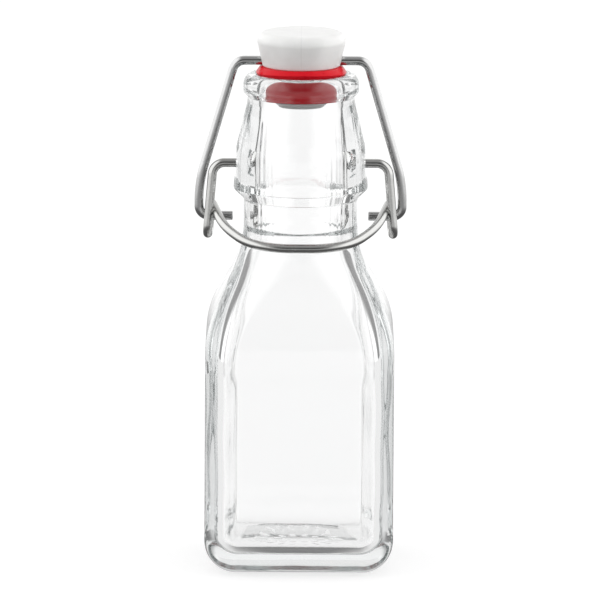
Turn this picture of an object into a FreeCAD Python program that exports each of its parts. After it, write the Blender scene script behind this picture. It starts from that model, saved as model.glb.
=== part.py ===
"""Square clear-glass bottle, about 165 ml to the brim, with a wire-bail swing-top closure.

Millimetres, +Z up. The origin is the middle of the base on the surface that the bottle stands
on, and the handle of the lever is at the front, towards -Y. The closure is drawn shut: the lever
turns on two dimples in the neck, the bail turns on the lever's two eyes, and the stopper turns
on the bail's crossbar.
"""
import FreeCAD, Part
import math
import os

V = FreeCAD.Vector

# Body and base of the bottle
BODY_HALF = 27.0            # half of the square body, face to face
BODY_CORNER = 8.5           # radius of the upright corners
BODY_TOP = 63.0             # height where the shoulder starts
HEEL_ROUND = 7.0            # round between the body and the base
PANEL_RECESS = 0.35         # depth of the flat panels in the four faces
PANEL_BOTTOM = 15.0
PANEL_HEAD = 6.0            # from a panel's top to the shoulder
PANEL_SLOPE = 1.6           # width of the run-out round each panel
PUSH_UP_RADIUS = 17.0       # dish under the base
PUSH_UP_DEPTH = 1.4

# Cavity of the body
WALL_SIDE = 5.0             # wall at the middle of a face
CAVITY_CORNER = 4.5
CAVITY_ROUND = 4.2          # round between the cavity's wall and its floor
FLOOR_Z = 6.4
CAVITY_HEAD = 3.1           # how far below the shoulder the cavity starts to narrow
CAVITY_OVERLAP = 2.0        # how far below the neck's foot the cavity's shoulder ends

# Bore of the neck
BORE_MOUTH = 11.5           # radius of the bore just under its seat
BORE_NECK = 12.3            # radius of the bore behind the collar
SEAT_WIDTH = 1.8            # bevel that the gasket seats on, across and down
SEAT_DEPTH = 2.35
SEAT_RADIUS = BORE_MOUTH + SEAT_WIDTH

# Outside of the neck, and the shoulder. Each height is counted from the one below.
SHOULDER_HEIGHT = 36.0
SHOULDER_PULL = 16.0        # how far the S-curve of the shoulder leaves each end upright
NECK_WALL = 4.0
NECK_HEIGHT = 6.6           # plain neck between the shoulder and the collar
COLLAR_STEP = 2.95          # how far the collar stands out of the neck
COLLAR_SLOPE = 2.9          # rise of the collar's underside
COLLAR_HEIGHT = 11.2        # from its lower edge to where it turns into the cone
COLLAR_TAPER = 0.55
CONE_HEIGHT = 14.3
LIP_WALL = 5.05             # glass round the mouth of the bore
LIP_HEIGHT = 7.7
LIP_GROOVE = 1.15           # depth of the groove under the lip
LIP_BEVEL = 1.2             # bevel under the lip, across and up
LIP_ROUND = 3.0
EDGE_ROUND = 1.2            # round on the neck's moulded edges
SOFT_ROUND = 13.0           # round where one straight of the neck runs into the next

NECK_BASE = BODY_TOP + SHOULDER_HEIGHT
COLLAR_UNDER = NECK_BASE + NECK_HEIGHT
COLLAR_EDGE = COLLAR_UNDER + COLLAR_SLOPE
COLLAR_TOP = COLLAR_EDGE + COLLAR_HEIGHT
LIP_UNDER = COLLAR_TOP + CONE_HEIGHT
LIP_TOP = LIP_UNDER + LIP_HEIGHT
NECK_RADIUS = BORE_NECK + NECK_WALL
COLLAR_RADIUS = NECK_RADIUS + COLLAR_STEP
COLLAR_TOP_RADIUS = COLLAR_RADIUS - COLLAR_TAPER
LIP_RADIUS = BORE_MOUTH + LIP_WALL
LIP_UNDER_RADIUS = LIP_RADIUS - LIP_GROOVE

# Pivots of the closure, in the plane across the bottle (y to the back, z up)
LEVER_PIVOT_Z = COLLAR_EDGE + 7.1
BAIL_PIVOT_Y = 2.0          # over centre: behind the line from the dimples to the crossbar
BAIL_PIVOT_Z = LEVER_PIVOT_Z - 15.7
CROSSBAR_Z = LIP_TOP + 3.55

CUT_OVER = 2.0              # how far a cutter stands out of what it cuts

# Lever wire and its dimples
WIRE_RADIUS = 1.3
WIRE_PLAY = 0.06            # radial clearance of a wire in its hole or eye
FLAT_DEPTH = 0.65           # depth of the flat round each dimple
FLAT_DISTANCE = COLLAR_RADIUS - FLAT_DEPTH
FLAT_BELOW = 3.6            # how far the flat reaches below the dimple's middle
DIMPLE_DEPTH = 3.3          # depth of a dimple below its flat
DIMPLE_MOUTH = WIRE_RADIUS + 1.3
DIMPLE_FLARE = 1.1          # depth of the flared mouth
END_GAP = 0.35              # between a lever end and the bottom of its dimple
EYE_FRONT_PLAY = 0.08       # between the bail's pin and the strand of the eye in front of it
EYE_BACK_PLAY = 0.3         # between the pin and the strand behind it
LEVER_SHOULDER = COLLAR_RADIUS + WIRE_RADIUS + 4.45     # where the lever's leg starts down
LEVER_FOOT = LEVER_SHOULDER + 1.75  # distance of the leg from the middle plane at the eye
LEVER_BEND = 3.5
EYE_BOTTOM_Z = BAIL_PIVOT_Z - 2 * WIRE_RADIUS - 2.6
EYE_DRIFT = 0.5             # how far inwards the wire moves in each half of the eye
HANDLE_SLOPE = 22.0         # degrees down towards the front
HANDLE_REACH = 21.3         # from the bail's pivot to the front of the handle
HANDLE_WIDE = 21.8          # half widths of the handle half-way out, near its front, and at its front
HANDLE_NARROW = 15.0
HANDLE_FRONT = 6.5
HANDLE_BEND = 26.0          # radius of the handle's gentle bends
HANDLE_CORNER = 14.0        # radius of its two tighter bends

# Stopper and gasket
GASKET_TOP = CROSSBAR_Z - WIRE_RADIUS - WIRE_PLAY
GASKET_RADIUS = SEAT_RADIUS - 0.3
GASKET_BEVEL = 1.1          # how far the gasket's upper bevel leans inwards
GASKET_FOOT = 1.1           # how far inside its rim the gasket leaves its seat
GASKET_RIM_LIFT = 1.1       # height of the rim above the mouth
RUBBER_ROUND = 0.2          # round on the gasket's edges
SEAT_GAP = 0.22             # between the gasket and the glass
PLUG_PLAY = 1.3             # between the plug and the bore
PLUG_RADIUS = BORE_MOUTH - PLUG_PLAY
PLUG_BOTTOM = LIP_TOP - 6.5
PLUG_ROUND = 0.9
STEM_RADIUS = 5.6
STEM_PLAY = 0.05
STEM_END_RADIUS = STEM_RADIUS + 1.7
STEM_END_HEIGHT = 2.9
STEM_END_ROUND = 1.9
CAP_BOTTOM_RADIUS = GASKET_RADIUS - GASKET_BEVEL - 0.8
CAP_RADIUS = CAP_BOTTOM_RADIUS + 2.2    # where the cap's cone would meet its top
CAP_TOP = CROSSBAR_Z + 8.4
CAP_ROUND = 2.4
CAP_EDGE_ROUND = 0.3

# Bail wire
BAIL_LEG_ROOM = 1.5         # between its legs and the lever's shoulders
BAIL_HALF_WIDTH = LEVER_SHOULDER + 2 * WIRE_RADIUS + BAIL_LEG_ROOM
BAIL_KNEE_Z = BAIL_PIVOT_Z + 9.7    # height where the legs start to lean inwards
CROSSBAR_HALF = CAP_RADIUS + 5.5    # where a leg's line meets the crossbar's
PIN_END = NECK_RADIUS + 3.1         # distance of a pin's cut end from the middle plane
PIN_BEND = 2.8
KNEE_BEND = 38.0
CROSSBAR_BEND = 3.5


def save(shape, name):
    """Write one node, and tell its volume."""
    shape.exportStep(os.path.join("parts", name + ".step"))
    print(name, "valid", shape.isValid(), "solids", len(shape.Solids), "volume", round(shape.Volume, 1))


def rounded_path(points, bends):
    """Edges through the points: straight runs joined by tangent arcs of the given radii.

    Where a run is too short for its arc, the arc gets the largest radius that it has room for.
    """
    edges = []
    start = points[0]
    for index, bend in enumerate(bends, start=1):
        corner = points[index]
        before = (corner - points[index - 1]).normalize()
        after = (points[index + 1] - corner).normalize()
        turn = before.getAngle(after)
        if bend <= 0 or turn < 1e-6:
            edges.append(Part.LineSegment(start, corner).toShape())
            start = corner
            continue
        room = min((corner - start).Length, (points[index + 1] - corner).Length)
        setback = min(bend * math.tan(turn / 2), room)
        bend = setback / math.tan(turn / 2)
        first = corner - before * setback
        last = corner + after * setback
        middle = corner + (after - before).normalize() * (bend / math.cos(turn / 2) - bend)
        if (first - start).Length > 1e-4:
            edges.append(Part.LineSegment(start, first).toShape())
        edges.append(Part.Arc(first, middle, last).toShape())
        start = last
    edges.append(Part.LineSegment(start, points[-1]).toShape())
    return edges


def revolved(outline):
    """Solid of revolution about Z. Each row of the outline is radius, height, rounding."""
    points = [V(radius, 0, height) for radius, height, _ in outline]
    edges = rounded_path(points, [rounding for _, _, rounding in outline[1:-1]])
    closing = Part.LineSegment(points[-1], points[0]).toShape()
    face = Part.Face(Part.Wire(edges + [closing]))
    return face.revolve(V(0, 0, 0), V(0, 0, 1), 360)


def bent_wire(points, bends, name):
    """Round wire along straight runs and tangent arcs, with flat cut ends."""
    path = Part.Wire(rounded_path(points, bends))
    direction = points[1] - points[0]
    section = Part.Wire(Part.Circle(points[0], direction, WIRE_RADIUS).toShape())
    solid = path.makePipeShell([section], True, False)
    expected = math.pi * WIRE_RADIUS ** 2 * path.Length
    print(name, "length", round(path.Length, 1), "volume against length", round(solid.Volume / expected, 4))
    return solid


def both_sides(points, bends):
    """A route drawn from its right-hand end to the middle plane, then mirrored to the left."""
    mirrored = [V(-p.x, p.y, p.z) for p in reversed(points)]
    return points + mirrored, bends + list(reversed(bends))


def square_section(half, corner, z):
    """Square with round corners, as four straight edges and four arcs."""
    straight = half - corner
    edges = []
    for quarter in range(4):
        turn = FreeCAD.Rotation(V(0, 0, 1), 90 * quarter)
        ends = [V(half, -straight, z), V(half, straight, z), V(straight, half, z)]
        edge_start, arc_start, arc_end = [turn.multVec(p) for p in ends]
        reach = straight + corner / math.sqrt(2)
        arc_middle = turn.multVec(V(reach, reach, z))
        edges.append(Part.LineSegment(edge_start, arc_start).toShape())
        edges.append(Part.Arc(arc_start, arc_middle, arc_end).toShape())
    return Part.Wire(edges)


def round_section(radius, straight, z):
    """Circle split like square_section, so that the two can be joined by one loft."""
    split = math.asin(straight / radius)
    edges = []
    for quarter in range(4):
        middle = math.radians(90 * quarter)
        angles = [middle - split, middle, middle + split, middle + math.pi / 4, middle + math.pi / 2 - split]
        spots = [V(radius * math.cos(a), radius * math.sin(a), z) for a in angles]
        edges.append(Part.Arc(*spots[:3]).toShape())
        edges.append(Part.Arc(*spots[2:]).toShape())
    return Part.Wire(edges)


def shoulder_loft(half, corner, bottom, radius, top):
    """Smooth change from the square body to the round neck along one cubic S-curve."""
    pull = min(SHOULDER_PULL, (top - bottom) / 2)
    neck_straight = radius * math.sin(math.radians(4))
    body_straight = half - corner
    sections = [square_section(half, corner, bottom)]
    steps = 10
    for step in range(1, steps):
        t = step / steps
        blend = 3 * t * t - 2 * t ** 3
        z = bottom + 3 * pull * t * (1 - t) ** 2 + 3 * (top - bottom - pull) * t * t * (1 - t)
        z += (top - bottom) * t ** 3
        width = half + (radius - half) * blend
        straight = body_straight + (neck_straight - body_straight) * blend
        sections.append(square_section(width, width - straight, z))
    sections.append(round_section(radius, neck_straight, top))
    return Part.makeLoft(sections, True, False)


def square_body(half, corner, bottom, top, rounding):
    """Upright square block with round corners and a rounded lower edge."""
    block = Part.Face(square_section(half, corner, bottom)).extrude(V(0, 0, top - bottom))
    lower = [e for e in block.Edges if e.BoundBox.ZMax < bottom + 0.01]
    return block.makeFillet(rounding, lower)


def panel_cutter():
    """Shallow tapered plug that sinks the flat panel into the front face."""
    reach = BODY_HALF - BODY_CORNER + PANEL_SLOPE / 2
    sections = []
    for depth in (-PANEL_RECESS, PANEL_RECESS):
        inset = PANEL_SLOPE * depth / PANEL_RECESS
        x = reach - inset
        y = depth - BODY_HALF
        low = PANEL_BOTTOM + inset
        high = BODY_TOP - PANEL_HEAD - inset
        corners = [V(-x, y, low), V(x, y, low), V(x, y, high), V(-x, y, high)]
        sections.append(Part.makePolygon(corners + corners[:1]))
    return Part.makeLoft(sections, True, True)


def neck_outline():
    """Outside of the neck from the shoulder up to the seat in the mouth."""
    return [
        (0, NECK_BASE, 0),
        (NECK_RADIUS, NECK_BASE, 0),
        (NECK_RADIUS, COLLAR_UNDER, EDGE_ROUND),
        (COLLAR_RADIUS, COLLAR_EDGE, EDGE_ROUND),
        (COLLAR_TOP_RADIUS, COLLAR_TOP, SOFT_ROUND),
        (LIP_UNDER_RADIUS, LIP_UNDER - LIP_BEVEL / 2, EDGE_ROUND),
        (LIP_UNDER_RADIUS, LIP_UNDER + LIP_BEVEL, EDGE_ROUND / 2),
        (LIP_RADIUS, LIP_UNDER + 2 * LIP_BEVEL, EDGE_ROUND),
        (LIP_RADIUS, LIP_TOP, LIP_ROUND),
        (0, LIP_TOP, 0),
    ]


def bore_outline():
    """Hollow of the neck: its seat, its narrow mouth and the wider part behind the collar."""
    return [
        (0, NECK_BASE - CAVITY_OVERLAP, 0),
        (BORE_NECK, NECK_BASE - CAVITY_OVERLAP, 0),
        (BORE_NECK, COLLAR_TOP, SOFT_ROUND),
        (BORE_MOUTH, LIP_UNDER, SOFT_ROUND),
        (BORE_MOUTH, LIP_TOP - SEAT_DEPTH, EDGE_ROUND / 2),
        (SEAT_RADIUS, LIP_TOP, 0),
        (SEAT_RADIUS, LIP_TOP + CUT_OVER, 0),
        (0, LIP_TOP + CUT_OVER, 0),
    ]


def dimple(side):
    """Round hole with a flared mouth, for one end of the lever."""
    hole = WIRE_RADIUS + WIRE_PLAY
    direction = V(side, 0, 0)
    bottom = V(side * (FLAT_DISTANCE - DIMPLE_DEPTH), 0, LEVER_PIVOT_Z)
    straight = Part.makeCylinder(hole, DIMPLE_DEPTH + CUT_OVER, bottom, direction)
    flare_start = V(side * (FLAT_DISTANCE - DIMPLE_FLARE), 0, LEVER_PIVOT_Z)
    flare = Part.makeCone(hole, DIMPLE_MOUTH, DIMPLE_FLARE, flare_start, direction)
    face = V(side * FLAT_DISTANCE, 0, LEVER_PIVOT_Z)
    mouth = Part.makeCylinder(DIMPLE_MOUTH, CUT_OVER, face, direction)
    return straight.fuse([flare, mouth])


def collar_flat(side):
    """Cutter for the flat on the collar round one dimple, with a sloping lower end."""
    low = LEVER_PIVOT_Z - FLAT_BELOW
    high = COLLAR_TOP + CUT_OVER
    out = COLLAR_RADIUS + CUT_OVER
    run_out = low - (out - FLAT_DISTANCE)
    half_depth = NECK_RADIUS / 2
    corners = [(FLAT_DISTANCE, low), (out, run_out), (out, high), (FLAT_DISTANCE, high)]
    points = [V(side * x, -half_depth, z) for x, z in corners]
    face = Part.Face(Part.makePolygon(points + points[:1]))
    return face.extrude(V(0, 2 * half_depth, 0))


def push_up():
    """Shallow round dish under the base, as a cap of a large sphere."""
    radius = (PUSH_UP_RADIUS ** 2 + PUSH_UP_DEPTH ** 2) / (2 * PUSH_UP_DEPTH)
    return Part.makeSphere(radius, V(0, 0, PUSH_UP_DEPTH - radius))


def make_bottle():
    neck = revolved(neck_outline())
    shoulder = shoulder_loft(BODY_HALF, BODY_CORNER, BODY_TOP, NECK_RADIUS, NECK_BASE)
    body = square_body(BODY_HALF, BODY_CORNER, 0, BODY_TOP, HEEL_ROUND)
    outside = body.fuse([shoulder, neck]).removeSplitter()
    front = panel_cutter()
    for quarter in range(4):
        panel = front.copy()
        panel.rotate(V(0, 0, 0), V(0, 0, 1), 90 * quarter)
        outside = outside.cut(panel)
    outside = outside.cut([collar_flat(1), collar_flat(-1), push_up()])
    cavity_half = BODY_HALF - WALL_SIDE
    cavity_top = BODY_TOP - CAVITY_HEAD
    bore = revolved(bore_outline())
    cavity_shoulder = shoulder_loft(
        cavity_half, CAVITY_CORNER, cavity_top, BORE_NECK, NECK_BASE - CAVITY_OVERLAP)
    cavity_body = square_body(cavity_half, CAVITY_CORNER, FLOOR_Z, cavity_top, CAVITY_ROUND)
    cavity = cavity_body.fuse([cavity_shoulder, bore]).removeSplitter()
    print("brimful capacity in ml", round(cavity.Volume / 1000, 1))
    return outside.cut(cavity).cut([dimple(1), dimple(-1)])


def make_bail():
    """Upper wire: pin, leg, crossbar through the stopper, leg, pin."""
    lean = BAIL_PIVOT_Y / (CROSSBAR_Z - BAIL_PIVOT_Z)
    knee_y = BAIL_PIVOT_Y - (BAIL_KNEE_Z - BAIL_PIVOT_Z) * lean
    points = [
        V(PIN_END, BAIL_PIVOT_Y, BAIL_PIVOT_Z),
        V(BAIL_HALF_WIDTH, BAIL_PIVOT_Y, BAIL_PIVOT_Z),
        V(BAIL_HALF_WIDTH, knee_y, BAIL_KNEE_Z),
        V(CROSSBAR_HALF, 0, CROSSBAR_Z),
    ]
    route, bends = both_sides(points, [PIN_BEND, KNEE_BEND, CROSSBAR_BEND])
    return bent_wire(route, bends, "bail_wire")


def handle_point(across, reach):
    """A point of the handle, which slopes down and forward from the top of the pins."""
    top = BAIL_PIVOT_Z + (2 * WIRE_RADIUS + WIRE_PLAY) / math.cos(math.radians(HANDLE_SLOPE))
    return V(across, BAIL_PIVOT_Y - reach, top - reach * math.tan(math.radians(HANDLE_SLOPE)))


def make_lever():
    """Lower wire: end in a dimple, leg, eye round the bail's pin, handle, and back again."""
    strand = 2 * WIRE_RADIUS + EYE_BACK_PLAY
    back = BAIL_PIVOT_Y + strand
    at_pin = BAIL_PIVOT_Y - 2 * WIRE_RADIUS - EYE_FRONT_PLAY
    front = at_pin * (LEVER_PIVOT_Z - EYE_BOTTOM_Z) / (LEVER_PIVOT_Z - BAIL_PIVOT_Z)
    points = [
        V(FLAT_DISTANCE - DIMPLE_DEPTH + END_GAP, 0, LEVER_PIVOT_Z),
        V(LEVER_SHOULDER, 0, LEVER_PIVOT_Z),
        V(LEVER_FOOT, front, EYE_BOTTOM_Z),
        V(LEVER_FOOT - EYE_DRIFT, back, EYE_BOTTOM_Z),
        handle_point(LEVER_FOOT - 2 * EYE_DRIFT, -strand),
        handle_point(HANDLE_WIDE, HANDLE_REACH / 2),
        handle_point(HANDLE_NARROW, 0.89 * HANDLE_REACH),
        handle_point(HANDLE_FRONT, HANDLE_REACH),
    ]
    round_eye = 0.97 * (back - front) / 2
    over_pin = 1.5 * WIRE_RADIUS
    bends = [LEVER_BEND, round_eye, round_eye, over_pin, HANDLE_BEND, HANDLE_CORNER, HANDLE_BEND]
    route, all_bends = both_sides(points, bends)
    return bent_wire(route, all_bends, "lever_wire")


def make_gasket():
    """Rubber ring with a double bevel over the mouth, and its plug in the bore."""
    seat_length = math.hypot(SEAT_RADIUS - BORE_MOUTH, SEAT_DEPTH)
    lift = SEAT_GAP * seat_length / (SEAT_RADIUS - BORE_MOUTH)
    slope = SEAT_DEPTH / (SEAT_RADIUS - BORE_MOUTH)
    hole = STEM_RADIUS + STEM_PLAY

    def seat_z(radius):
        return LIP_TOP - (SEAT_RADIUS - radius) * slope + lift

    inner = BORE_MOUTH - 2 * SEAT_GAP
    foot = GASKET_RADIUS - GASKET_FOOT
    return revolved([
        (hole, PLUG_BOTTOM, 0),
        (PLUG_RADIUS, PLUG_BOTTOM, PLUG_ROUND),
        (PLUG_RADIUS, seat_z(inner) - RUBBER_ROUND, 0),
        (inner, seat_z(inner), 0),
        (foot, seat_z(foot), RUBBER_ROUND),
        (GASKET_RADIUS, LIP_TOP + GASKET_RIM_LIFT, RUBBER_ROUND),
        (GASKET_RADIUS - GASKET_BEVEL, GASKET_TOP, RUBBER_ROUND),
        (hole, GASKET_TOP, 0),
    ])


def make_stopper():
    """Cap, stem and the disc that holds the gasket, with a slot for the crossbar."""
    body = revolved([
        (0, PLUG_BOTTOM - STEM_END_HEIGHT, 0),
        (STEM_END_RADIUS, PLUG_BOTTOM - STEM_END_HEIGHT, STEM_END_ROUND),
        (STEM_END_RADIUS, PLUG_BOTTOM, 0),
        (STEM_RADIUS, PLUG_BOTTOM, 0),
        (STEM_RADIUS, GASKET_TOP, 0),
        (CAP_BOTTOM_RADIUS, GASKET_TOP, CAP_EDGE_ROUND),
        (CAP_RADIUS, CAP_TOP, CAP_ROUND),
        (0, CAP_TOP, 0),
    ])
    hole = WIRE_RADIUS + WIRE_PLAY
    length = 2 * (CAP_RADIUS + CUT_OVER)
    bore = Part.makeCylinder(hole, length, V(-length / 2, 0, CROSSBAR_Z), V(1, 0, 0))
    slot = Part.makeBox(length, 2 * hole, CROSSBAR_Z - GASKET_TOP, V(-length / 2, -hole, GASKET_TOP))
    return body.cut(bore.fuse(slot))


def main():
    os.makedirs("parts", exist_ok=True)
    save(make_bottle(), "bottle")
    save(make_lever(), "lever_wire")
    save(make_bail(), "bail_wire")
    save(make_stopper(), "stopper")
    save(make_gasket(), "gasket")


main()
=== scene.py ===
"""Looks of the square clear-glass bottle with its wire-bail swing-top closure.

The glass, the two wires, the stopper and its rubber gasket are surfaces worked out with numpy,
and each one stands for the CAD node whose size and place it takes. Metres, +Z up, with the
handle of the lever at the front, towards -Y.
"""

import math

import bpy
import numpy as np
from mathutils import Matrix, Vector


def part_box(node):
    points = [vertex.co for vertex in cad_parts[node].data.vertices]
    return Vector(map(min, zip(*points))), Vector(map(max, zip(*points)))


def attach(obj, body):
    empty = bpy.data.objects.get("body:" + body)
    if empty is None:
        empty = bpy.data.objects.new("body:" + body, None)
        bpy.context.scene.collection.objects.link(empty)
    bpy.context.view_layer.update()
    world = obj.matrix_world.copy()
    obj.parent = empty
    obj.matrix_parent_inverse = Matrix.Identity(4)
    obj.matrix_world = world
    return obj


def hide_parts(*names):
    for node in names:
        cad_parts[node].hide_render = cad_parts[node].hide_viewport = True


MM = 0.001
TURN = 2 * math.pi

# Sizes in millimetres. They are the construction's own, except that the heel is rounder, the
# panels run out more softly and the dimples are a little wider. The overall sizes of the pieces
# come from the frame's boxes, further down.
BODY_CORNER = 8.5           # radius of the upright corners
HEEL_ROUND = 9.2            # between the base and the walls
BODY_TOP = 63.0             # where the shoulder starts
PANEL_RECESS = 0.35
PANEL_BOTTOM = 15.0
PANEL_TOP = 57.0
PANEL_SLOPE = 1.6           # width of the run-out beside a panel
PANEL_RUN_OUT = 4.0         # the same at a panel's two ends
PUSH_UP_RADIUS = 17.0
PUSH_UP_DEPTH = 1.4
WALL_SIDE = 5.0
CAVITY_CORNER = 4.5
CAVITY_ROUND = 4.2
FLOOR_Z = 6.4
CAVITY_HEAD = 3.1           # how far below the outer one the hollow's shoulder starts
CAVITY_OVERLAP = 2.0        # and how far below the neck's foot it ends
SHOULDER_HEIGHT = 36.0
SHOULDER_PULL = 16.0        # how long the S-curve stays upright at its foot
BORE_MOUTH = 11.5
BORE_NECK = 12.3
SEAT_RADIUS = 13.3
SEAT_DEPTH = 2.35
NECK_RADIUS = 16.3
COLLAR_UNDER = 105.6
COLLAR_EDGE = 108.5
COLLAR_TOP = 119.7
COLLAR_RADIUS = 19.25
COLLAR_TOP_RADIUS = 18.7
LIP_UNDER = 134.0           # height of the lip's underside
LIP_UNDER_RADIUS = 15.4
LIP_RADIUS = 16.55
LIP_BEVEL = 1.2
LIP_ROUND = 3.0
EDGE_ROUND = 1.2
SOFT_ROUND = 13.0           # where two slopes run into each other
LEVER_PIVOT_Z = 115.6
FLAT_DISTANCE = 18.6
FLAT_BELOW = 3.6            # how far the flat reaches below the dimple's middle
FLAT_EDGE = 0.35            # round where the flat meets the collar
DIMPLE_DEPTH = 3.3
DIMPLE_RADIUS = 1.50        # a little over the wire's
DIMPLE_MOUTH = 3.0          # radius at which the dimple's flare ends
BAIL_PIVOT_Y = 2.0
BAIL_PIVOT_Z = 99.9
CROSSBAR_Z = 145.25
SEAT_GAP = 0.22
WIRE_RADIUS = 1.3
WIRE_PLAY = 0.06

# Spacing of the meshes' points, in millimetres or as a count.
BOTTLE_COLUMNS = 212
TURNED_COLUMNS = 160
WIRE_SIDES = 28
OUTER_STEP = 1.0            # up the outside of the walls
HOLLOW_STEP = 1.4           # down the hollow's walls
LEAST_CORNER = 0.3          # corner radius that is left where a square ring shrinks
POLE_RADIUS = 0.5           # of the first ring of the push-up

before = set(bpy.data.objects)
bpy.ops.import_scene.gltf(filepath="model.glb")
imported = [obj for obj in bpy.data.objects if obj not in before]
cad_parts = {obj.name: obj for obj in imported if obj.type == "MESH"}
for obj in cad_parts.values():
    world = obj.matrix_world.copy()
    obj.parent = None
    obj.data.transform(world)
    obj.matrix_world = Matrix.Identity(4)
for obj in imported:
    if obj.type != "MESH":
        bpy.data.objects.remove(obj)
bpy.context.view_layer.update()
BOTTLE_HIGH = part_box("bottle")[1]
STOPPER_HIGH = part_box("stopper")[1]
GASKET_LOW, GASKET_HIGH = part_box("gasket")
BODY_HALF = BOTTLE_HIGH.x / MM
LIP_TOP = BOTTLE_HIGH.z / MM
CAP_TOP = STOPPER_HIGH.z / MM
GASKET_TOP = GASKET_HIGH.z / MM
PLUG_BOTTOM = GASKET_LOW.z / MM
NECK_BASE = BODY_TOP + SHOULDER_HEIGHT


# ---------------------------------------------------------------- camera and stage

CAMERA_DISTANCE = 2.5
CAMERA_ELEVATION = 10.7
CAMERA_AIM_Z = 0.0757
CAMERA_ROLL = 0.33
VIEW_WIDTH = 0.1721         # width of the view at the bottle's axis


def make_camera():
    """A long lens, a little above the closure, at the front."""
    data = bpy.data.cameras.new("camera")
    data.sensor_width = 36
    data.lens = data.sensor_width * CAMERA_DISTANCE / VIEW_WIDTH
    data.clip_end = 100
    camera = bpy.data.objects.new("camera", data)
    bpy.context.collection.objects.link(camera)
    tilt = math.radians(CAMERA_ELEVATION)
    back = Vector((0, -math.cos(tilt), math.sin(tilt)))
    camera.location = Vector((0, 0, CAMERA_AIM_Z)) + back * CAMERA_DISTANCE
    roll = Matrix.Rotation(math.radians(CAMERA_ROLL), 4, back)
    camera.rotation_mode = "QUATERNION"
    camera.rotation_quaternion = roll.to_quaternion() @ (-back).to_track_quat("-Z", "Y")
    bpy.context.scene.camera = camera


# ---------------------------------------------------------------- shader helpers

class Value:
    """One output socket of a node. An operator adds the Math node that it stands for."""

    def __init__(self, shader, socket):
        self.shader = shader
        self.socket = socket

    def math(self, operation, *others):
        inputs = dict(enumerate((self,) + others))
        return self.shader.node("ShaderNodeMath", {"operation": operation}, inputs)

    def reflected(self, operation, other):
        return self.shader.node("ShaderNodeMath", {"operation": operation}, {0: other, 1: self})

    def __add__(self, other):
        return self.math("ADD", other)

    def __sub__(self, other):
        return self.math("SUBTRACT", other)

    def __rsub__(self, other):
        return self.reflected("SUBTRACT", other)

    def __mul__(self, other):
        return self.math("MULTIPLY", other)

    def __truediv__(self, other):
        return self.math("DIVIDE", other)

    __radd__ = __add__
    __rmul__ = __mul__

    def step(self, start, end):
        """0 before start, 1 after end, and a smooth ramp between them."""
        settings = {"interpolation_type": "SMOOTHSTEP"}
        return self.shader.node("ShaderNodeMapRange", settings, {0: self, 1: start, 2: end})


class Shader:
    """The node tree of a material or of the world."""

    def __init__(self, owner):
        self.tree = owner.node_tree
        self.tree.nodes.clear()

    def node(self, kind, settings=None, inputs=None, output=0):
        """Add a node: its settings first, then the values or links of its sockets."""
        made = self.tree.nodes.new(kind)
        for name, setting in (settings or {}).items():
            setattr(made, name, setting)
        for name, value in (inputs or {}).items():
            if isinstance(value, Value):
                self.tree.links.new(value.socket, made.inputs[name])
            else:
                made.inputs[name].default_value = value
        return Value(self, made.outputs[output]) if made.outputs else made

    def split(self, vector):
        """The three parts of a vector."""
        made = self.node("ShaderNodeSeparateXYZ", None, {0: vector}).socket.node
        return [Value(self, socket) for socket in made.outputs]

    def mix(self, factor, first, second):
        """Mix of two colours."""
        settings = {"data_type": "RGBA"}
        return self.node("ShaderNodeMix", settings, {0: factor, 6: first, 7: second}, output=2)

    def noise(self, vector, scale, detail=2.0, roughness=0.5):
        """Seeded by its place alone: the noise runs from about 0.3 to 0.7."""
        inputs = {"Vector": vector, "Scale": scale, "Detail": detail, "Roughness": roughness}
        return self.node("ShaderNodeTexNoise", None, inputs)

    def bump(self, height, distance):
        """A normal from a height, which stands for the given distance in metres."""
        inputs = {"Height": height, "Distance": distance, "Strength": 1.0}
        return self.node("ShaderNodeBump", None, inputs)


def new_material(name):
    material = bpy.data.materials.new(name)
    material.use_nodes = True
    return material, Shader(material)


def object_place(shader):
    return shader.node("ShaderNodeTexCoord", output=3)


def scaled(shader, vector, scale):
    """A vector stretched by three factors."""
    return shader.node("ShaderNodeMapping", None, {"Vector": vector, "Scale": scale})


# ---------------------------------------------------------------- mesh helpers

def piece(name, points, faces, material, body, node=None, uv=None):
    """A mesh object at the origin, with its place in its mesh, that rides on a CAD body."""
    mesh = bpy.data.meshes.new(name)
    mesh.from_pydata(points * MM, [], faces)
    mesh.shade_smooth()
    if uv is not None:
        layer = mesh.uv_layers.new(name="along")
        corners = np.empty(len(mesh.loops), dtype=np.int32)
        mesh.loops.foreach_get("vertex_index", corners)
        layer.data.foreach_set("uv", uv[corners].astype(np.float32).ravel())
    mesh.materials.append(material)
    made = bpy.data.objects.new(name, mesh)
    bpy.context.collection.objects.link(made)
    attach(made, body)
    if node:
        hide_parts(node)
    return made


def ring_faces(rows, columns, start=0):
    """Quads between neighbouring rings, wrapped round each ring."""
    row, column = np.meshgrid(np.arange(rows - 1), np.arange(columns), indexing="ij")
    beside = (column + 1) % columns
    quads = np.stack([row * columns + column, row * columns + beside,
                      (row + 1) * columns + beside, (row + 1) * columns + column], axis=-1)
    return (quads.reshape(-1, 4) + start).tolist()


def closed_skin(grid, first_pole, last_pole):
    """Points and faces of a closed surface: rings of points, with a fan on a pole at each end.

    The rings run from the first pole, anticlockwise seen from the last.
    """
    rows, columns, _ = grid.shape
    points = np.concatenate([grid.reshape(-1, 3), [first_pole, last_pole]])
    faces = ring_faces(rows, columns)
    around = np.arange(columns)
    beside = (around + 1) % columns
    low = rows * columns
    faces += np.stack([np.full(columns, low), beside, around], axis=-1).tolist()
    last = (rows - 1) * columns
    faces += np.stack([np.full(columns, low + 1), last + around, last + beside], axis=-1).tolist()
    return points, faces


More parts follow.
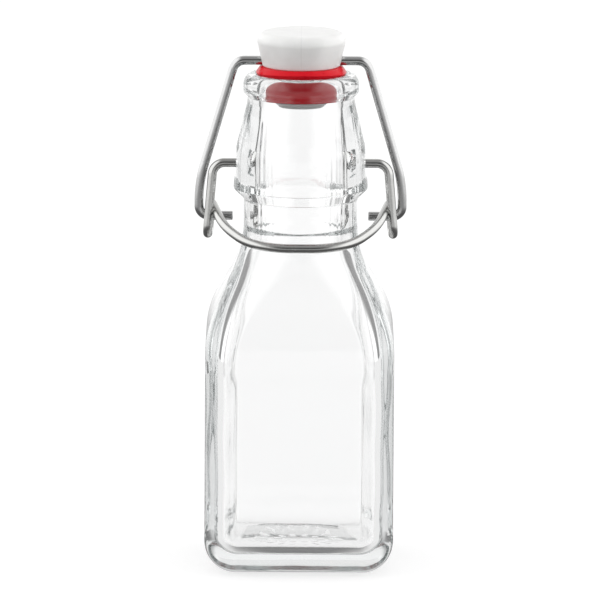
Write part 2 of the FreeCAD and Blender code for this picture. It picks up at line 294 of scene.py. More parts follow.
def rounded(points, bends, step, arc_step=0.25):
    """Points along straight runs joined by tangent arcs, no further apart than the steps."""
    points = [np.array(p, dtype=float) for p in points]
    line = [points[0]]

    def run_to(end):
        start = line[-1]
        count = max(1, math.ceil(np.linalg.norm(end - start) / step))
        line.extend(start + (end - start) * (k + 1) / count for k in range(count))

    for index, bend in enumerate(bends, start=1):
        corner = points[index]
        before = corner - points[index - 1]
        after = points[index + 1] - corner
        before /= np.linalg.norm(before)
        after /= np.linalg.norm(after)
        turn = math.acos(np.clip(before @ after, -1, 1))
        if bend <= 0 or turn < 1e-6:
            run_to(corner)
            continue
        room = min(np.linalg.norm(corner - line[-1]), np.linalg.norm(points[index + 1] - corner))
        setback = min(bend * math.tan(turn / 2), room)
        bend = setback / math.tan(turn / 2)
        run_to(corner - before * setback)
        inwards = (after - before) / np.linalg.norm(after - before)
        centre = corner + inwards * bend / math.cos(turn / 2)
        first = line[-1] - centre
        count = max(3, math.ceil(bend * turn / arc_step))
        for k in range(1, count + 1):
            angle = turn * k / count
            line.append(centre + first * math.cos(angle) + before * bend * math.sin(angle))
    run_to(points[-1])
    return np.array(line)


def smooth_window(value, low, high, slope):
    """1 between low and high, 0 outside them, with smooth run-outs of the slope's width."""
    rise = np.clip((value - low) / slope + 0.5, 0, 1)
    fall = np.clip((high - value) / slope + 0.5, 0, 1)
    both = np.minimum(rise, fall)
    return both * both * (3 - 2 * both)


def smooth_least(first, second, width):
    """The lesser of two, with a round of the given width where they cross."""
    share = np.clip(0.5 + 0.5 * (second - first) / width, 0, 1)
    return second * (1 - share) + first * share - width * share * (1 - share)


# ---------------------------------------------------------------- glass

def column_angles(count):
    """Directions round the bottle, closer together at the dimples and at the corners: the columns
    share out the running total of a density."""
    fine = np.linspace(0, TURN, 7201)
    from_side = np.abs((fine + math.pi / 2) % math.pi - math.pi / 2)
    from_corner = np.abs(fine % (math.pi / 2) - math.pi / 4)
    density = (1 + 2.8 * (from_side < math.radians(10)) + 1.2 * (from_corner < math.radians(14)))
    spread = np.concatenate([[0], np.cumsum((density[1:] + density[:-1]) / 2)])
    return np.interp(np.arange(count) / count * spread[-1], spread, fine)


def section_radius(half, corner, angles):
    """Distance from the axis to a square with round corners, in each direction.

    On a face it is the half width over the cosine of the angle from the face's middle. On a
    corner it is where the ray leaves the corner's circle. Half width and corner radius may be
    equal, which makes a circle.
    """
    folded = np.abs((angles + math.pi / 4) % (math.pi / 2) - math.pi / 4)
    straight = half - corner
    along = straight * (np.cos(folded) + np.sin(folded))
    across = straight * (np.cos(folded) - np.sin(folded))
    on_corner = along + np.sqrt(np.maximum(corner ** 2 - across ** 2, 0))
    on_face = half / np.cos(folded)
    return np.where(half * np.tan(folded) <= straight, on_face, on_corner)


def shoulder_rows(half, corner, bottom, radius, top, count):
    """Rows of the change from square to round along one cubic S-curve. A row is a half width, a
    corner radius and a height."""
    t = np.linspace(0, 1, count)[1:]
    pull = min(SHOULDER_PULL, (top - bottom) / 2)
    blend = 3 * t ** 2 - 2 * t ** 3
    z = bottom + 3 * pull * t * (1 - t) ** 2 + 3 * (top - bottom - pull) * t ** 2 * (1 - t)
    z += (top - bottom) * t ** 3
    width = half + (radius - half) * blend
    straight = (half - corner) * (1 - blend)
    return np.stack([width, width - straight, z], axis=-1)


def round_rows(line):
    """Rows of a solid of revolution from a line of radius and height."""
    return np.stack([line[:, 0], line[:, 0], line[:, 1]], axis=-1)


def offset_round(half, corner, bottom, rounding, count):
    """Rows of the round between a flat bottom and an upright wall: an arc of inward offsets."""
    angle = np.linspace(0, math.pi / 2, count)
    inset = rounding * (1 - np.sin(angle))
    z = bottom + rounding * (1 - np.cos(angle))
    return np.stack([half - inset, np.maximum(corner - inset, LEAST_CORNER), z], axis=-1)


def wall_rows(half, corner, bottom, top, step):
    """Rows up a wall, a step apart, that all have the same half width and corner radius."""
    z = np.arange(bottom, top, step)[1:]
    return np.stack([np.full_like(z, half), np.full_like(z, corner), z], axis=-1)


def dish_rows(count):
    """The push-up under the base, which is a cap of a large sphere, and the flat ring that the
    bottle stands on."""
    sphere = (PUSH_UP_RADIUS ** 2 + PUSH_UP_DEPTH ** 2) / (2 * PUSH_UP_DEPTH)
    radius = np.linspace(POLE_RADIUS, PUSH_UP_RADIUS, count)
    z = PUSH_UP_DEPTH - sphere + np.sqrt(sphere ** 2 - radius ** 2)
    dish = np.stack([radius, radius, z], axis=-1)
    ring_half = BODY_HALF - HEEL_ROUND
    t = np.linspace(0, 1, 5)[1:-1]
    half = PUSH_UP_RADIUS + (ring_half - PUSH_UP_RADIUS) * t
    corner = PUSH_UP_RADIUS + (POLE_RADIUS - PUSH_UP_RADIUS) * t
    return np.concatenate([dish, np.stack([half, corner, 0 * t], axis=-1)])


def outer_rows():
    """Rows of the outside, from the middle of the base up to the rim of the mouth."""
    neck = rounded([
        (NECK_RADIUS, NECK_BASE),
        (NECK_RADIUS, COLLAR_UNDER),
        (COLLAR_RADIUS, COLLAR_EDGE),
        (COLLAR_TOP_RADIUS, COLLAR_TOP),
        (LIP_UNDER_RADIUS, LIP_UNDER - LIP_BEVEL / 2),
        (LIP_UNDER_RADIUS, LIP_UNDER + LIP_BEVEL),
        (LIP_RADIUS, LIP_UNDER + 2 * LIP_BEVEL),
        (LIP_RADIUS, LIP_TOP),
        (SEAT_RADIUS, LIP_TOP),
    ], [EDGE_ROUND, EDGE_ROUND, SOFT_ROUND, EDGE_ROUND, EDGE_ROUND / 2, EDGE_ROUND, LIP_ROUND],
        0.42, 0.3)
    return np.concatenate([
        dish_rows(34),
        offset_round(BODY_HALF, BODY_CORNER, 0, HEEL_ROUND, 22),
        wall_rows(BODY_HALF, BODY_CORNER, HEEL_ROUND, BODY_TOP, OUTER_STEP),
        shoulder_rows(BODY_HALF, BODY_CORNER, BODY_TOP, NECK_RADIUS, NECK_BASE, 40),
        round_rows(neck[1:]),
    ])


def inner_rows():
    """Rows of the hollow, from the seat in the mouth down to the middle of the floor."""
    bore = rounded([
        (SEAT_RADIUS, LIP_TOP),
        (BORE_MOUTH, LIP_TOP - SEAT_DEPTH),
        (BORE_MOUTH, LIP_UNDER),
        (BORE_NECK, COLLAR_TOP),
        (BORE_NECK, NECK_BASE - CAVITY_OVERLAP),
    ], [EDGE_ROUND / 2, SOFT_ROUND, SOFT_ROUND], 0.8)
    half = BODY_HALF - WALL_SIDE
    top = BODY_TOP - CAVITY_HEAD
    shoulder = shoulder_rows(half, CAVITY_CORNER, top, BORE_NECK, NECK_BASE - CAVITY_OVERLAP, 38)
    wall = wall_rows(half, CAVITY_CORNER, FLOOR_Z + CAVITY_ROUND, top + 0.5, HOLLOW_STEP)
    heel = offset_round(half, CAVITY_CORNER, FLOOR_Z, CAVITY_ROUND, 18)
    inset = np.linspace(0, 1, 18)[1:-1] * (half - CAVITY_ROUND - 0.8)
    width = half - CAVITY_ROUND - inset
    floor = np.stack([width, np.minimum(width, 1.5 + inset), 0 * inset + FLOOR_Z], axis=-1)
    return np.concatenate([round_rows(bore[1:]), shoulder[::-1], wall[::-1], heel[::-1], floor])


def sink_panels(x, y, z):
    """Pull each face in by the recess over its panel: the recess times a smooth window across the
    face and another up it."""
    reach = BODY_HALF - BODY_CORNER
    for along, across in ((x, y), (y, x)):
        inside = smooth_window(across, -reach, reach, PANEL_SLOPE)
        inside = inside * smooth_window(z, PANEL_BOTTOM, PANEL_TOP, PANEL_RUN_OUT)
        on_face = np.abs(along) > BODY_HALF - 0.2
        along -= np.sign(along) * PANEL_RECESS * inside * on_face


def press_flats(x, y, z):
    """Press a flat into each side of the collar, with its dimple for one end of the lever.

    The flat's lower end slopes out at 45 degrees. The dimple is a round hole with a flared mouth:
    its depth depends on the distance from its middle only.
    """
    low = LEVER_PIVOT_Z - FLAT_BELOW
    limit = FLAT_DISTANCE + np.maximum(low - z, 0)
    pressed = smooth_least(np.abs(x), limit, FLAT_EDGE)
    from_middle = np.hypot(y, z - LEVER_PIVOT_Z)
    depth = np.interp(from_middle, [DIMPLE_RADIUS, DIMPLE_RADIUS + 0.2, 2.0, 2.5, DIMPLE_MOUTH],
                      [DIMPLE_DEPTH, 1.0, 0.45, 0.12, 0.0])
    beside = (np.abs(x) > LIP_RADIUS) & (z > COLLAR_UNDER) & (z < LIP_UNDER)
    x[beside] = (np.sign(x) * (pressed - depth))[beside]


def wavy_wall(angles, z):
    """Slow changes in the thickness of pressed and blown glass, in millimetres: a few waves round
    the wall that drift with the height."""
    return (0.10 * np.sin(3 * angles + 0.055 * z + 0.4)
            + 0.07 * np.sin(5 * angles - 0.11 * z + 2.1)
            + 0.05 * np.sin(9 * angles + 0.19 * z + 4.0)
            + 0.06 * np.sin(2 * angles + 0.31 * z + 1.1))


def neck_ridges(angles, z):
    """Fine upright ridges on the neck's inner wall, in millimetres, where the blown glass drew in:
    two close waves round the wall that beat against each other."""
    ridges = (0.022 * np.sin(41 * angles + 0.02 * z)
              + 0.018 * np.sin(57 * angles - 0.03 * z + 1.3))
    return ridges * smooth_window(z, NECK_BASE - 4, LIP_UNDER - 6, 6)


BAR_COUNT = 20
BAR_START = 9.4
BAR_END = 12.6
BAR_HEIGHT = 0.30
DOT_COUNT = 12
DOT_RING = 6.2              # distance of the dots from the axis
DOT_RADIUS = 0.8
DOT_HEIGHT = 0.28


def base_marks(angles, radius):
    """Raised marks in the push-up, in millimetres: a ring of short bars round a ring of dots. A
    bar is a window along the radius times a window round it, and a dot is a window of the
    distance from its middle."""
    from_bar = np.abs((angles * BAR_COUNT / TURN) % 1 - 0.5)
    bars = smooth_window(radius, BAR_START, BAR_END, 0.8) * smooth_window(from_bar, -1, 0.17, 0.14)
    dots_around = ((angles * DOT_COUNT / TURN) % 1 - 0.5) * TURN / DOT_COUNT * radius
    dots = smooth_window(np.hypot(dots_around, radius - DOT_RING), -1, DOT_RADIUS, 0.7)
    return BAR_HEIGHT * bars + DOT_HEIGHT * dots


def make_glass(material):
    """The bottle as one closed skin: rings from the middle of the base up the outside, over the
    mouth and down the hollow to its floor."""
    outer = outer_rows()
    inner = inner_rows()
    angles = column_angles(BOTTLE_COLUMNS)[None, :]
    rows = np.concatenate([outer, inner])[:, :, None]
    radius = section_radius(rows[:, 0], rows[:, 1], angles)
    z = np.repeat(rows[:, 2], angles.shape[1], axis=1)
    count = len(outer)
    hollow = np.arange(len(rows))[:, None] >= count
    fade = smooth_window(z, FLOOR_Z + 3, LIP_UNDER - 8, 10) * hollow
    radius = radius + wavy_wall(angles, z) * fade + neck_ridges(angles, z) * hollow
    x = radius * np.cos(angles)
    y = radius * np.sin(angles)
    under = z[:count] < PUSH_UP_DEPTH
    marks = base_marks(angles, radius[:count]) * under * (radius[:count] < PUSH_UP_RADIUS)
    z[:count] -= marks
    sink_panels(x[:count], y[:count], z[:count])
    press_flats(x[:count], y[:count], z[:count])
    grid = np.stack([x, y, z], axis=-1)
    points, faces = closed_skin(grid, (0, 0, PUSH_UP_DEPTH), (0, 0, FLOOR_Z))
    made = piece("glass_bottle", points, faces, material, "bottle", "bottle")
    return made


def glass_material():
    """Clear soda-lime glass: faint draw lines and soft dents in its skin, and a trace of cool grey
    where the light goes a long way through it."""
    material, shader = new_material("clear_glass")
    place = object_place(shader)
    soft = shader.noise(scaled(shader, place, (60, 60, 38)), 1.0, 1.0)
    drawn = shader.noise(scaled(shader, place, (260, 260, 30)), 1.0, 1.0)
    normal = shader.bump(soft + drawn * 0.012, 0.0002)
    surface = shader.node("ShaderNodeBsdfPrincipled", None, {
        "Base Color": (1, 1, 1, 1),
        "Roughness": 0.0,
        "IOR": 1.5,
        "Transmission Weight": 1.0,
        "Normal": normal,
    })
    volume = shader.node("ShaderNodeVolumeAbsorption", None, {
        "Color": (0.81, 0.825, 0.825, 1),
        "Density": 16.0,
    })
    shader.node("ShaderNodeOutputMaterial", None, {"Surface": surface, "Volume": volume})
    return material


# ---------------------------------------------------------------- wires

PIN_END = 19.4              # distance of a bail pin's cut end from the middle plane
BAIL_HALF_WIDTH = 29.1
KNEE_RISE = 9.7             # from the bail's pins up to its knees
CROSSBAR_HALF = 18.8
PIN_BEND = 2.8
KNEE_BEND = 38.0
CROSSBAR_BEND = 3.5
LEVER_SHOULDER = 25.0       # where a lever end turns down into its leg
LEVER_FOOT = 26.75
END_GAP = 0.35              # between a lever end and the bottom of its dimple
END_BEND = 3.5
EYE_DROP = 5.2              # from the bail's pins down to the eyes' bottom
EYE_DRIFT = 0.5             # how far inwards an eye runs at each of its sides
EYE_FRONT_PLAY = 0.08
EYE_BACK_PLAY = 0.3
EYE_SHARE = 0.97            # of the widest round that fits between an eye's two strands
HANDLE_SLOPE = 22           # degrees below level
HANDLE_REACH = 21.3
HANDLE_WIDE = 21.8          # half widths of the handle, from its back to its front
HANDLE_NARROW = 15.0
HANDLE_FRONT = 6.5
NARROW_SHARE = 0.89         # of the reach, where the handle is narrow
HANDLE_BENDS = [26.0, 14.0, 26.0]


def sweep(line, radii, sides=WIRE_SIDES):
    """Rings of points along a line: each ring stands square to the line, and its frame is carried
    from ring to ring with no twist. Returns the grid and the length along the line."""
    tangents = np.gradient(line, axis=0)
    tangents /= np.linalg.norm(tangents, axis=1)[:, None]
    normal = np.array([0.0, 0.0, 1.0])
    normals = np.empty_like(line)
    for index, tangent in enumerate(tangents):
        normal = normal - tangent * (normal @ tangent)
        normal = normal / np.linalg.norm(normal)
        normals[index] = normal
    sidewards = np.cross(tangents, normals)
    angle = np.arange(sides) / sides * TURN
    around = (normals[:, None] * np.cos(angle)[None, :, None]
              + sidewards[:, None] * np.sin(angle)[None, :, None])
    grid = line[:, None] + around * radii[:, None, None]
    length = np.concatenate([[0], np.cumsum(np.linalg.norm(np.diff(line, axis=0), axis=1))])
    return grid, length


def make_wire(name, points, bends, material, body):
    """Round drawn wire along straight runs and tangent arcs, with cropped ends that are a little
    rounded over. Its UV map runs along the wire in millimetres, and once round it."""
    line = rounded(points, bends, 1.2, 0.45)
    first = (line[1] - line[0]) / np.linalg.norm(line[1] - line[0])
    last = (line[-2] - line[-1]) / np.linalg.norm(line[-2] - line[-1])
    ends = np.array([0.0, 0.05, 0.14, 0.3])
    line = np.concatenate([line[0] + ends[:, None] * first, line[1:-1],
                           (line[-1] + ends[:, None] * last)[::-1]])
    radii = np.full(len(line), WIRE_RADIUS)
    crop = WIRE_RADIUS - np.array([0.22, 0.1, 0.03, 0.0])
    radii[:4] = crop
    radii[-4:] = crop[::-1]
    grid, length = sweep(line, radii)
    points, faces = closed_skin(grid, line[0], line[-1])
    sides = grid.shape[1]
    uv = np.zeros((len(points), 2))
    uv[:-2, 0] = np.repeat(length, sides)
    uv[:-2, 1] = np.tile(np.arange(sides) / sides, len(line))
    uv[-2, 0] = length[0]
    uv[-1, 0] = length[-1]
    faces = [face[::-1] for face in faces]
    made = piece(name, points, faces, material, body, name, uv)
    return made


def both_sides(points, bends):
    """A route drawn from its right-hand end to the middle plane, then mirrored to the left."""
    mirrored = [(-x, y, z) for x, y, z in reversed(points)]
    return points + mirrored, bends + list(reversed(bends))


def make_bail(material):
    """Upper wire: pin, leg, crossbar through the stopper, leg, pin."""
    lean = BAIL_PIVOT_Y / (CROSSBAR_Z - BAIL_PIVOT_Z)
    points = [
        (PIN_END, BAIL_PIVOT_Y, BAIL_PIVOT_Z),
        (BAIL_HALF_WIDTH, BAIL_PIVOT_Y, BAIL_PIVOT_Z),
        (BAIL_HALF_WIDTH, BAIL_PIVOT_Y - KNEE_RISE * lean, BAIL_PIVOT_Z + KNEE_RISE),
        (CROSSBAR_HALF, 0, CROSSBAR_Z),
    ]
    route, bends = both_sides(points, [PIN_BEND, KNEE_BEND, CROSSBAR_BEND])
    return make_wire("bail_wire", route, bends, material, "bail")


def make_lever(material):
    """Lower wire: end in a dimple, leg, eye round the bail's pin, handle, and back again."""
    slope = math.radians(HANDLE_SLOPE)
    strand = 2 * WIRE_RADIUS + EYE_BACK_PLAY
    back = BAIL_PIVOT_Y + strand
    eye_bottom = BAIL_PIVOT_Z - EYE_DROP
    front = (BAIL_PIVOT_Y - 2 * WIRE_RADIUS - EYE_FRONT_PLAY) * (LEVER_PIVOT_Z - eye_bottom)
    front /= LEVER_PIVOT_Z - BAIL_PIVOT_Z
    over_pin = BAIL_PIVOT_Z + (2 * WIRE_RADIUS + WIRE_PLAY) / math.cos(slope)

    def handle_point(across, forward):
        return (across, BAIL_PIVOT_Y - forward, over_pin - forward * math.tan(slope))

    points = [
        (FLAT_DISTANCE - DIMPLE_DEPTH + END_GAP, 0, LEVER_PIVOT_Z),
        (LEVER_SHOULDER, 0, LEVER_PIVOT_Z),
        (LEVER_FOOT, front, eye_bottom),
        (LEVER_FOOT - EYE_DRIFT, back, eye_bottom),
        handle_point(LEVER_FOOT - 2 * EYE_DRIFT, -strand),
        handle_point(HANDLE_WIDE, HANDLE_REACH / 2),
        handle_point(HANDLE_NARROW, NARROW_SHARE * HANDLE_REACH),
        handle_point(HANDLE_FRONT, HANDLE_REACH),
    ]
    eye = EYE_SHARE * (back - front) / 2
    route, bends = both_sides(points, [END_BEND, eye, eye, 1.5 * WIRE_RADIUS] + HANDLE_BENDS)
    return make_wire("lever_wire", route, bends, material, "lever")


def steel_material(name, tint):
    """Drawn bright wire: fine lines along it, longer shaded streaks, and a few dull patches."""
    material, shader = new_material(name)
    along = shader.node("ShaderNodeUVMap", {"uv_map": "along"})
    length, turn, _ = shader.split(along)
    angle = turn * TURN
    around = shader.node("ShaderNodeCombineXYZ", None, {
        0: length * 0.16, 1: angle.math("COSINE") * 3.2, 2: angle.math("SINE") * 3.2})
    lines = shader.noise(around, 5.0, 5.0, 0.65)
    streaks = shader.noise(around, 1.3, 3.0, 0.6)
    place = object_place(shader)
    dull = shader.noise(scaled(shader, place, (160, 160, 160)), 1.0, 3.0)
    pits = shader.noise(scaled(shader, place, (1800, 1800, 1800)), 1.0, 2.0).step(0.62, 0.72)
    shade = (lines - 0.5) * 0.30 + (streaks - 0.5) * 0.25 - pits * 0.05
    light = tuple(min(1.0, c * 1.12) for c in tint) + (1,)
    dark = tuple(c * 0.80 for c in tint) + (1,)
    color = shader.mix((shade + 0.5).step(0.2, 0.8), dark, light)
    roughness = 0.15 + (dull - 0.5) * 0.18 + (lines - 0.5) * 0.16 + pits * 0.12
    normal = shader.bump(lines * 0.8 + streaks * 0.2 - pits * 0.5, 0.000012)
    surface = shader.node("ShaderNodeBsdfPrincipled", None, {
        "Base Color": color,
        "Metallic": 1.0,
        "Roughness": roughness,
        "Normal": normal,
    })
    shader.node("ShaderNodeOutputMaterial", None, {"Surface": surface})
    return material


# ---------------------------------------------------------------- stopper and gasket

CAP_FOOT_RADIUS = 11.1
CAP_TOP_RADIUS = 13.3
CAP_ROUND = 2.6
STEM_RADIUS = 5.6
STEM_END_RADIUS = 7.3
STEM_END_HEIGHT = 2.9
STEM_END_ROUND = 1.9
STOPPER_POLE = 0.4          # radius of the stopper's first and last rings
GASKET_HOLE = 5.65
GASKET_RIM = 13.0
GASKET_RIM_LIFT = 1.1       # of the rim above the lip
GASKET_BEVEL = 1.1          # width of the bevels above and below the rim
PLUG_RADIUS = 10.2
SADDLE_DEPTH = 0.4


def revolve(line, columns):
    """Rings of points of a solid of revolution from a line of radius and height."""
    angle = np.arange(columns) / columns * TURN
    radius = line[:, 0][:, None]
    z = np.repeat(line[:, 1][:, None], columns, axis=1)
    return np.stack([radius * np.cos(angle), radius * np.sin(angle), z], axis=-1)


def make_stopper(material):
    """Cap, stem and end disc as one turned shape, with a slot cut for the crossbar."""
    line = rounded([
        (STOPPER_POLE, PLUG_BOTTOM - STEM_END_HEIGHT),
        (STEM_END_RADIUS, PLUG_BOTTOM - STEM_END_HEIGHT),
        (STEM_END_RADIUS, PLUG_BOTTOM),
        (STEM_RADIUS, PLUG_BOTTOM),
        (STEM_RADIUS, GASKET_TOP),
        (CAP_FOOT_RADIUS, GASKET_TOP),
        (CAP_TOP_RADIUS, CAP_TOP),
        (STOPPER_POLE, CAP_TOP),
    ], [STEM_END_ROUND, 0.25, 0, 0, 0.35, CAP_ROUND], 0.5, 0.18)
    grid = revolve(line, TURNED_COLUMNS)
    points, faces = closed_skin(grid, (0, 0, line[0, 1]), (0, 0, line[-1, 1]))
    made = piece("stopper", points, faces, material, "stopper", "stopper")
    cut_crossbar_slot(made)
    return made


def cut_crossbar_slot(stopper):
    """Cut a slot across the stopper, round above the wire and open below it, and keep its edges
    crisp."""
    hole = WIRE_RADIUS + WIRE_PLAY
    arc = np.linspace(0, math.pi, 25)
    outline = np.concatenate([
        np.stack([hole * np.cos(arc), CROSSBAR_Z + hole * np.sin(arc)], axis=-1),
        [(-hole, GASKET_TOP - 0.001), (hole, GASKET_TOP - 0.001)],
    ])
    count = len(outline)
    ends = [np.column_stack([np.full(count, x), outline]) for x in (-20.0, 20.0)]
    points = np.concatenate(ends)
    around = np.arange(count)
    beside = (around + 1) % count
    faces = np.stack([around, beside, beside + count, around + count], axis=-1).tolist()
    faces += [around[::-1].tolist(), (around + count).tolist()]
    mesh = bpy.data.meshes.new("slot_cutter")
    mesh.from_pydata(points * MM, [], faces)
    cutter = bpy.data.objects.new("slot_cutter", mesh)
    bpy.context.collection.objects.link(cutter)
    cut = stopper.modifiers.new("slot", "BOOLEAN")
    cut.operation = "DIFFERENCE"
    cut.solver = "EXACT"
    cut.object = cutter
    graph = bpy.context.evaluated_depsgraph_get()
    finished = bpy.data.meshes.new_from_object(stopper.evaluated_get(graph))
    stopper.modifiers.clear()
    stopper.data = finished
    finished.shade_smooth()
    finished.set_sharp_from_angle(angle=math.radians(35))
    bpy.data.objects.remove(cutter)


def plastic_material():
    """Satin white polyethylene: very fine moulded grain, soft mottling, and the mould's parting
    line."""
    material, shader = new_material("white_plastic")
    place = object_place(shader)
    x, _, _ = shader.split(place)
    grain = shader.noise(scaled(shader, place, (2600, 2600, 2600)), 1.0, 2.0)
    mottle = shader.noise(scaled(shader, place, (220, 220, 220)), 1.0, 3.0)
    scuffs = shader.noise(scaled(shader, place, (900, 900, 240)), 1.0, 3.0).step(0.60, 0.74)
    parting = 1 - x.math("ABSOLUTE").step(0.00006, 0.00022)
    color = shader.mix(mottle.step(0.3, 0.7), (0.80, 0.80, 0.79, 1), (0.84, 0.84, 0.83, 1))
    color = shader.mix(parting * 0.35 + scuffs * 0.10, color, (0.70, 0.70, 0.69, 1))
    normal = shader.bump(grain * 0.25 + mottle + parting * 0.8, 0.00003)
    surface = shader.node("ShaderNodeBsdfPrincipled", None, {
        "Base Color": color,
        "Roughness": 0.34 + (mottle - 0.5) * 0.10 + scuffs * 0.12,
        "Subsurface Weight": 0.25,
        "Subsurface Radius": (0.004, 0.004, 0.0038),
        "Subsurface Scale": 0.6,
        "IOR": 1.5,
        "Normal": normal,
    })
    shader.node("ShaderNodeOutputMaterial", None, {"Surface": surface})
    return material


def make_gasket(material):
    """Rubber ring with a double bevel over the mouth, and its plug in the bore.

    The wire presses the ring down at the sides, so the ring is a slight saddle: its height
    changes with the cosine of twice the angle, more towards its rim.
    """
    seat_width = SEAT_RADIUS - BORE_MOUTH
    slope = SEAT_DEPTH / seat_width
    lift = SEAT_GAP * math.hypot(seat_width, SEAT_DEPTH) / seat_width

    def seat_z(radius):
        return LIP_TOP - (SEAT_RADIUS - radius) * slope + lift

    foot = GASKET_RIM - GASKET_BEVEL
    inner = BORE_MOUTH - 2 * SEAT_GAP
    line = rounded([
        (GASKET_HOLE, GASKET_TOP - 1.0),
        (GASKET_HOLE, PLUG_BOTTOM),
        (PLUG_RADIUS, PLUG_BOTTOM),
        (PLUG_RADIUS, seat_z(inner) - 0.2),
        (inner, seat_z(inner)),
        (foot, seat_z(foot)),
        (GASKET_RIM, LIP_TOP + GASKET_RIM_LIFT),
        (GASKET_RIM - GASKET_BEVEL, GASKET_TOP),
        (GASKET_HOLE, GASKET_TOP),
        (GASKET_HOLE, GASKET_TOP - 1.0),
    ], [0, 0.9, 0.1, 0.15, 0.3, 0.22, 0.25, 0], 0.5, 0.1)
    grid = revolve(line[:-1], TURNED_COLUMNS)
    rows, columns, _ = grid.shape
    radius = np.hypot(grid[..., 0], grid[..., 1])
    twice = np.cos(2 * np.arctan2(grid[..., 1], grid[..., 0]))
    outward = np.clip((radius - CAP_FOOT_RADIUS) / (GASKET_RIM - CAP_FOOT_RADIUS), 0, 1)
    outward = outward * (grid[..., 2] > seat_z(foot) + 0.2)
    grid[..., 2] -= outward * SADDLE_DEPTH * (1 + twice)
    quads = np.array(ring_faces(rows + 1, columns)) % (rows * columns)
    made = piece("gasket", grid.reshape(-1, 3), quads.tolist(), material, "stopper", "gasket")
    return made


def rubber_material():
    """Soft red rubber: a faint bloom and fine moulded grain."""
    material, shader = new_material("red_rubber")
    place = object_place(shader)
    bloom = shader.noise(scaled(shader, place, (300, 300, 300)), 1.0, 4.0)
    grain = shader.noise(scaled(shader, place, (2200, 2200, 2200)), 1.0, 2.0)
    color = shader.mix(bloom.step(0.3, 0.75), (0.68, 0.003, 0.014, 1), (0.74, 0.009, 0.020, 1))
    normal = shader.bump(grain * 0.3 + bloom, 0.00005)
    surface = shader.node("ShaderNodeBsdfPrincipled", None, {
        "Base Color": color,
        "Roughness": 0.30 + (bloom - 0.5) * 0.18,
        "Specular IOR Level": 0.14,
        "Subsurface Weight": 0.1,
        "Subsurface Radius": (0.002, 0.0004, 0.0004),
        "Subsurface Scale": 0.5,
        "Normal": normal,
    })
    shader.node("ShaderNodeOutputMaterial", None, {"Surface": surface})
    return material


# ---------------------------------------------------------------- light and floor

AMBIENT = 0.86              # light of the studio on what isn't a mirror
FLOOR_TONE = 0.35
FLOOR_GLOW = 0.72           # the floor's own light, where it is looked at
THROUGH_LEVEL = 1.09        # the studio's walls and floor, through glass
INSIDE_LEVEL = 0.90         # the floor, mirrored inside glass
FRONT_DEPTH_INSIDE = 0.72   # how much darker the floor in front is there
FRONT_DEPTH_METAL = 0.34    # and as metal mirrors it
GAP_START = 0.66            # where a corner's gap starts, as the sine of twice the angle
GAP_END = 0.98
GAP_DEPTH = 0.65            # how much darker a gap is, straight through glass
GAP_DEPTH_INSIDE = 0.85     # and mirrored inside it
LAMP_SIZE = 0.9
BOUNCES = 32                # enough for light that stays in the thick glass


def ray_kinds(shader):
    """What a ray is, as masks that add up to 1: from the camera, straight through glass, mirrored
    inside glass, mirrored on a surface, or scattered from a dull surface."""
    path = shader.node("ShaderNodeLightPath").socket.node
    camera, through = [Value(shader, path.outputs[name]) for name in (
        "Is Camera Ray", "Is Transmission Ray")]
    scattered = Value(shader, path.outputs["Diffuse Depth"]).math("GREATER_THAN", 0.5)
    mirrored = Value(shader, path.outputs["Glossy Depth"]).math("GREATER_THAN", 0.5)
    clean = (1 - scattered) * (1 - camera)
    return (camera, (1 - mirrored) * clean, mirrored * through * clean,
            mirrored * (1 - through) * clean, scattered * (1 - camera))


def corner_gap(shader, x, y):
    """1 towards the four corners of the studio and 0 towards its four walls: the size of the sine
    of twice the direction's angle, past a soft threshold."""
    flat = x * x + y * y
    twice = (x * y).math("ABSOLUTE") * 2 / flat
    return twice.step(GAP_START, GAP_END)


def make_world():
    """A pale studio. It is plain white where it is looked at. Straight through glass it has white
    walls with grey gaps at the corners. A mirror sees bright walls at the sides, a white one
    behind, a dimmer ceiling and a dim room in front. Mirrored inside glass it is a little darker
    than that, with gaps at the corners behind."""
    world = bpy.data.worlds.new("studio")
    bpy.context.scene.world = world
    world.use_nodes = True
    shader = Shader(world)
    x, y, z = shader.split(shader.node("ShaderNodeTexCoord", output=0))
    camera, straight, inside, mirrored, scattered = ray_kinds(shader)
    level = 1 - z.math("ABSOLUTE").step(0.45, 0.8)
    walls = THROUGH_LEVEL * (1 - corner_gap(shader, x, y) * level * GAP_DEPTH)
    sides = x.math("ABSOLUTE").step(0.22, 0.56)
    back = y.step(0.1, 0.75) * (1 - sides)
    ceiling = z.step(0.35, 0.95) * (1 - sides) * (1 - back)
    studio = 0.10 + sides * 1.75 + back * 0.95 + ceiling * 0.40
    dim = corner_gap(shader, x, y) * y.step(0.0, 0.3) * level * GAP_DEPTH_INSIDE
    inner = (0.04 + sides * 1.45 + back * 0.95 + ceiling * 0.15) * (1 - dim)
    strength = camera + straight * walls + inside * inner + mirrored * studio + scattered * AMBIENT
    shader.node("ShaderNodeOutputWorld", None, {"Surface": shader.node(
        "ShaderNodeBackground", None, {"Color": (1, 1, 1, 1), "Strength": strength})})


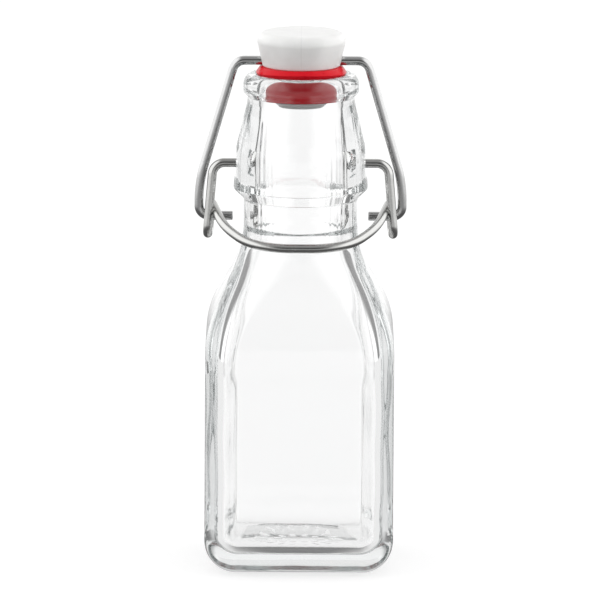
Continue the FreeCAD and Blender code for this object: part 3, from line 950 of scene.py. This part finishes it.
def make_floor():
    """A plain pale floor that keeps the bottle's shadow. Through glass it is white, with a trace of
    painted shadow under the bottle, and grey further out towards the studio's corners. Metal sees a
    painted shade on it round the bottle's foot, and white far out. Mirrored, it is darker in front."""
    side = 6.0
    mesh = bpy.data.meshes.new("floor")
    z = -0.0003
    mesh.from_pydata([(-side, -side, z), (side, -side, z), (side, side, z), (-side, side, z)],
                     [], [(0, 1, 2, 3)])
    material, shader = new_material("floor")
    place = object_place(shader)
    x, y, _ = shader.split(place)
    camera, straight, inside, mirrored, _ = ray_kinds(shader)
    grain = shader.noise(scaled(shader, place, (400, 400, 400)), 1.0, 3.0)
    away = (x * x + y * y).math("SQRT")
    outer = corner_gap(shader, x, y) * away.step(0.28, 0.5)
    # Painted shadow under the bottle: seen through glass, the floor is a tenth darker within about
    # 2 to 5 cm of the axis.
    foot = 0.90 + away.step(0.018, 0.046) * 0.10
    front = (y / away * -1).step(0.5, 0.9)
    glow = camera * FLOOR_GLOW + straight * THROUGH_LEVEL * (1 - outer * GAP_DEPTH * 0.6) * foot
    # Painted shade round the bottle's foot: metal sees the floor dim near the bottle, brightening
    # to white by 0.7 m out.
    glow = glow + mirrored * (0.14 + away.step(0.12, 0.7) * (1 - front * FRONT_DEPTH_METAL))
    glow = glow + inside * INSIDE_LEVEL * (1 - front * FRONT_DEPTH_INSIDE) * foot
    seen = mirrored + straight + inside
    surface = shader.node("ShaderNodeBsdfPrincipled", None, {
        "Base Color": shader.mix(seen, (FLOOR_TONE, FLOOR_TONE, FLOOR_TONE, 1), (0, 0, 0, 1)),
        "Roughness": 0.7 + (grain - 0.5) * 0.1,
        "Specular IOR Level": 0.0,
        "Emission Color": (1, 1, 1, 1),
        "Emission Strength": glow,
    })
    shader.node("ShaderNodeOutputMaterial", None, {"Surface": surface})
    mesh.materials.append(material)
    floor = bpy.data.objects.new("floor", mesh)
    bpy.context.collection.objects.link(floor)


def make_lamp(name, place, power):
    """A large soft lamp that looks at the closure. Metal and glass see the studio instead of it."""
    data = bpy.data.lights.new(name, "AREA")
    data.shape = "DISK"
    data.size = LAMP_SIZE
    data.energy = power
    lamp = bpy.data.objects.new(name, data)
    bpy.context.collection.objects.link(lamp)
    lamp.location = place
    lamp.rotation_mode = "QUATERNION"
    lamp.rotation_quaternion = (Vector((0, 0, 0.1)) - Vector(place)).to_track_quat("-Z", "Y")
    lamp.visible_glossy = False
    lamp.visible_transmission = False


def main():
    make_camera()
    scene = bpy.context.scene
    scene.view_settings.view_transform = "Standard"
    scene.cycles.max_bounces = BOUNCES
    scene.cycles.transmission_bounces = BOUNCES
    scene.cycles.glossy_bounces = BOUNCES
    make_world()
    make_floor()
    make_lamp("lamp_left", (-1.2, 0.0, 0.5), 4.7)
    make_lamp("lamp_right", (1.2, 0.0, 0.5), 4.3)
    make_lamp("lamp_top", (0.0, 0.1, 1.3), 0.6)
    make_glass(glass_material())
    make_lever(steel_material("lever_steel", (0.50, 0.50, 0.49)))
    make_bail(steel_material("bail_steel", (0.50, 0.50, 0.50)))
    make_stopper(plastic_material())
    make_gasket(rubber_material())


main()
